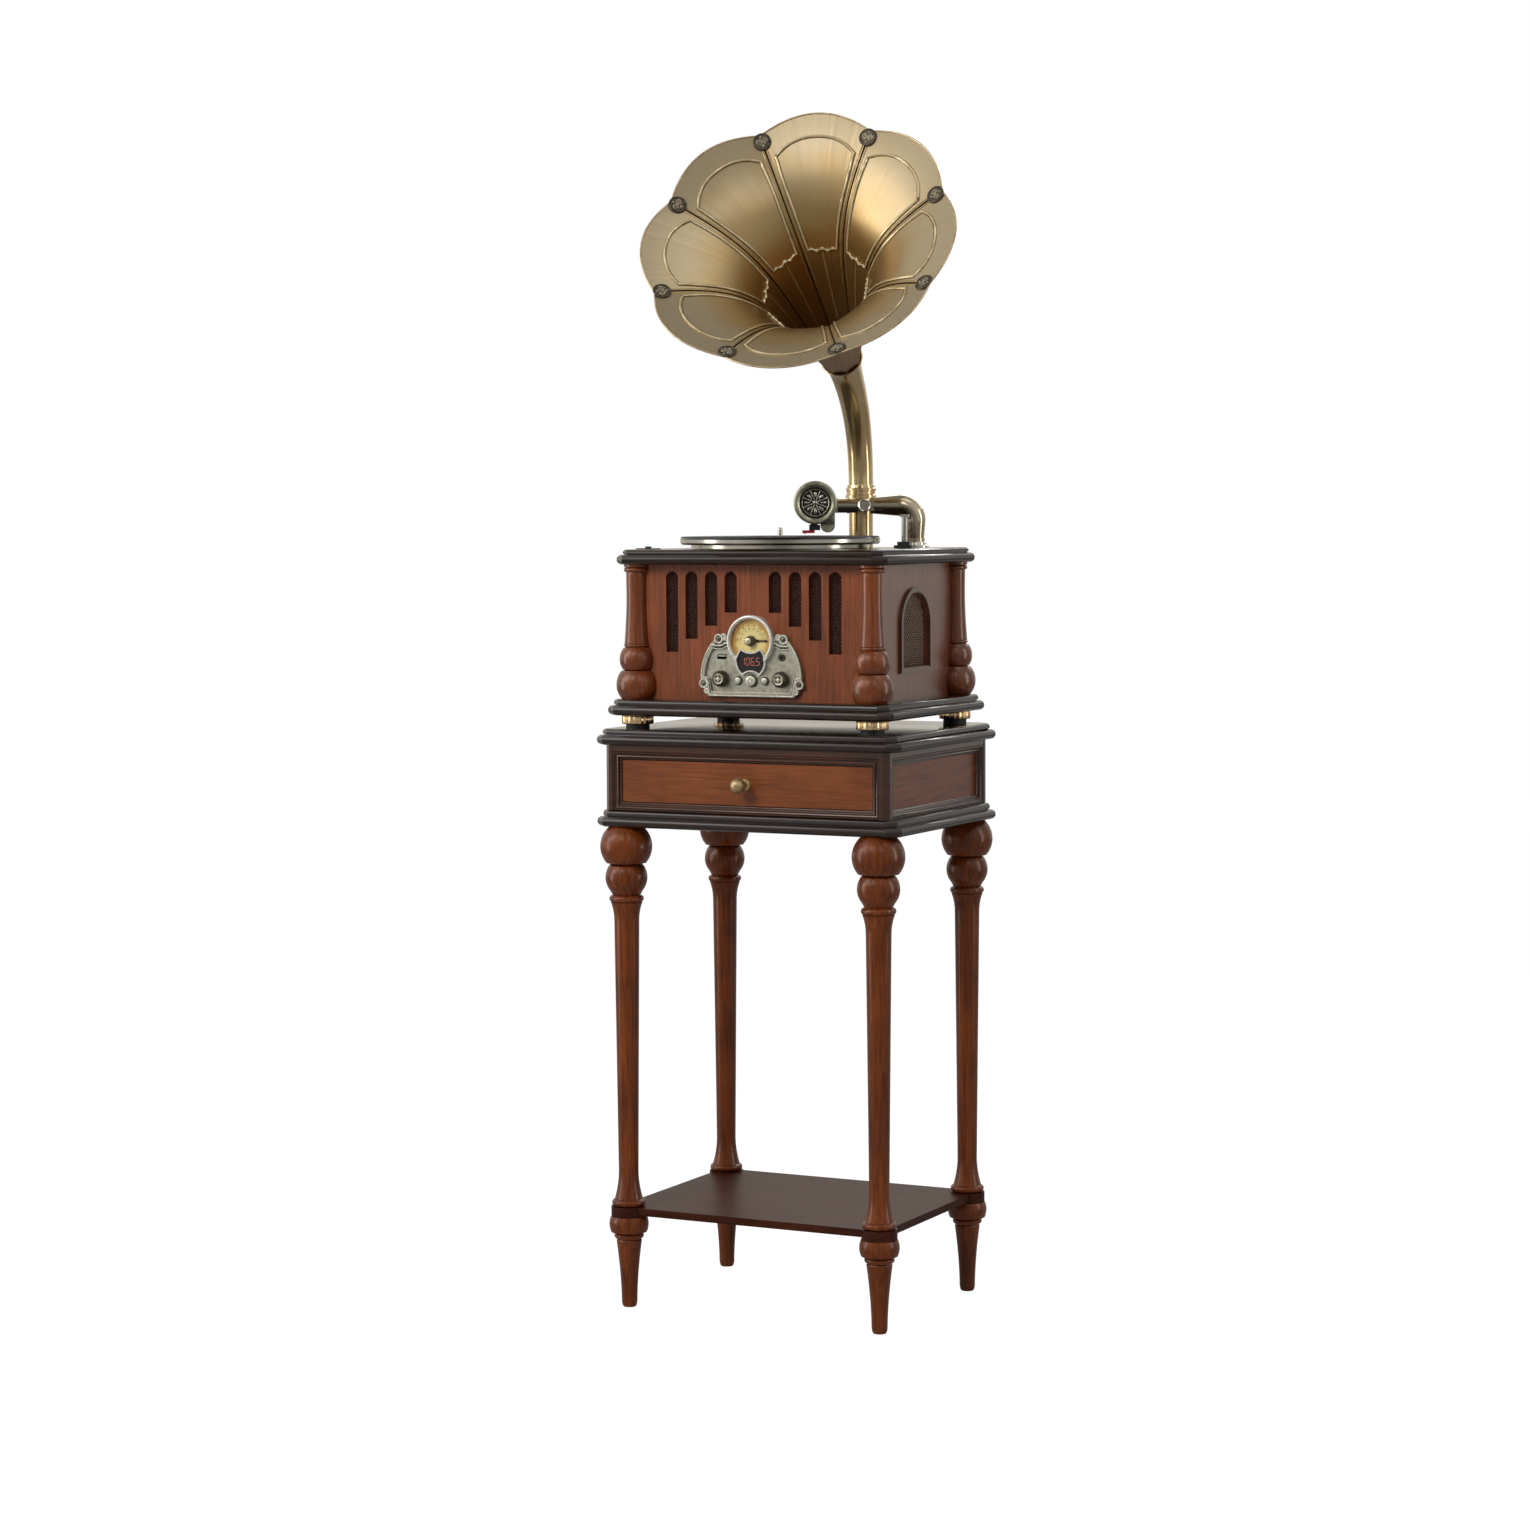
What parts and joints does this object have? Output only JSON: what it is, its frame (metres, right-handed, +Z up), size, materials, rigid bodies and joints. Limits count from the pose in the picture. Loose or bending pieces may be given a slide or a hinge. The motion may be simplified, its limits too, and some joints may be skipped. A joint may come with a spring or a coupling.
{
  "type": "floor standing record player",
  "caption": "Floor standing record player with a turned leg stand, drawer, wooden radio case, turntable with sound box arm, and a flower shaped brass horn.",
  "frame": {"origin": "on the floor midway between the four legs", "axes": "+X to the right along the front, +Y from the front to the back, +Z up"},
  "size_m": [0.5603, 0.5164, 1.7105],
  "materials": {
    "walnut_turned": "satin lacquer",
    "walnut_panel": "satin lacquer",
    "walnut_rear": "satin lacquer",
    "dark_board": "satin lacquer",
    "dark_shelf": "gloss lacquer",
    "mould_wood": "satin lacquer",
    "drawer_wood": "plain",
    "aged_brass": "antique brushed",
    "polished_brass": "polished",
    "dark_brass": "antique",
    "pewter": "antique cast",
    "bright_trim": "polished",
    "nickel": "polished",
    "platter_metal": "polished",
    "knob_metal": "antique cast",
    "mesh": "dark",
    "dial": "printed",
    "window": "dark",
    "rubber": "matte",
    "black_plastic": "matte",
    "red_plastic": "gloss",
    "board_green": "matte",
    "motor_metal": "grey",
    "steel": "brushed"
  },
  "bodies": {
    "frame": {"leg_front_left": "walnut_turned", "leg_front_right": "walnut_turned", "leg_back_left": "walnut_turned", "leg_back_right": "walnut_turned", "shelf": "dark_shelf", "stand_bottom_board": "dark_board", "bay_frame": "mould_wood", "bay_panels": "walnut_panel", "bay_mouldings": "mould_wood", "stand_top_board": "dark_board", "drawer_runners": "drawer_wood", "foot_pads": "rubber", "foot_rings": "polished_brass", "base_board": "dark_board", "front_panel": "walnut_panel", "side_panels": "walnut_panel", "rear_panel": "walnut_rear", "columns": "walnut_turned", "deck_board": "dark_board", "front_grille": "mesh", "window_frames": "mould_wood", "window_grilles": "mesh", "speakers": "motor_metal", "circuit_board": "board_green", "rear_sockets": "black_plastic", "control_plate": "pewter", "plate_screws": "knob_metal", "dial_bezel": "bright_trim", "dial_face": "dial", "display_window": "window", "usb_socket": "steel", "sound_jack": "black_plastic", "turntable_motor": "motor_metal", "speed_plate": "black_plastic", "arm_base": "nickel", "arm_rest": "black_plastic", "horn_pipe": "aged_brass"},
    "drawer": {"drawer_box": "drawer_wood", "drawer_front": "walnut_panel", "drawer_knob": "aged_brass"},
    "tuner": {"tuning_knob": "knob_metal"},
    "mode": {"mode_knob": "knob_metal"},
    "volume": {"volume_knob": "knob_metal"},
    "left_button": {"button_left": "pewter"},
    "middle_button": {"button_middle": "pewter"},
    "right_button": {"button_right": "pewter"},
    "turntable": {"platter": "platter_metal", "platter_mat": "rubber", "spindle": "steel"},
    "speed": {"speed_lever": "black_plastic"},
    "arm": {"arm_post": "nickel", "arm_pin": "nickel"},
    "head": {"arm_tube": "nickel", "sound_box": "nickel", "cartridge": "black_plastic", "stylus": "red_plastic"},
    "horn": {"horn_elbow": "aged_brass", "horn_bell": "aged_brass", "horn_rosettes": "dark_brass"}
  },
  "joints": [
    {"name": "drawer_slide", "type": "slide", "parent": "frame", "child": "drawer", "axis": [0, -1, 0], "range_m": [0, 0.22]},
    {"name": "platter_spin", "type": "hinge", "parent": "frame", "child": "turntable", "pos_m": [-0.015, -0.024, 1.1], "axis": [0, 0, -1], "continuous": true},
    {"name": "arm_swing", "type": "hinge", "parent": "frame", "child": "arm", "pos_m": [0.135, 0.115, 1.1], "axis": [0, 0, 1], "range_deg": [-5, 75]},
    {"name": "arm_lift", "type": "hinge", "parent": "arm", "child": "head", "pos_m": [0.06889, 0.08175, 1.158], "axis": [-0.4493, 0.8934, 0], "range_deg": [0, 30]},
    {"name": "horn_swivel", "type": "hinge", "parent": "frame", "child": "horn", "pos_m": [0.037, 0.139, 1.188], "axis": [0, 0, 1], "range_deg": [-180, 180]},
    {"name": "tuning_turn", "type": "hinge", "parent": "frame", "child": "tuner", "pos_m": [0, -0.15, 0.9685], "axis": [0, -1, 0], "range_deg": [0, 180]},
    {"name": "mode_turn", "type": "hinge", "parent": "frame", "child": "mode", "pos_m": [-0.0474, -0.15, 0.9146], "axis": [0, -1, 0], "range_deg": [-60, 60]},
    {"name": "volume_turn", "type": "hinge", "parent": "frame", "child": "volume", "pos_m": [0.0474, -0.15, 0.9146], "axis": [0, -1, 0], "range_deg": [-140, 140]},
    {"name": "left_press", "type": "slide", "parent": "frame", "child": "left_button", "axis": [0, 1, 0], "range_m": [0, 0.0015], "stiffness_N_per_m": 300},
    {"name": "middle_press", "type": "slide", "parent": "frame", "child": "middle_button", "axis": [0, 1, 0], "range_m": [0, 0.0015], "stiffness_N_per_m": 300},
    {"name": "right_press", "type": "slide", "parent": "frame", "child": "right_button", "axis": [0, 1, 0], "range_m": [0, 0.0015], "stiffness_N_per_m": 300},
    {"name": "speed_slide", "type": "slide", "parent": "frame", "child": "speed", "axis": [1, 0, 0], "range_m": [-0.006, 0.006]}
  ]
}
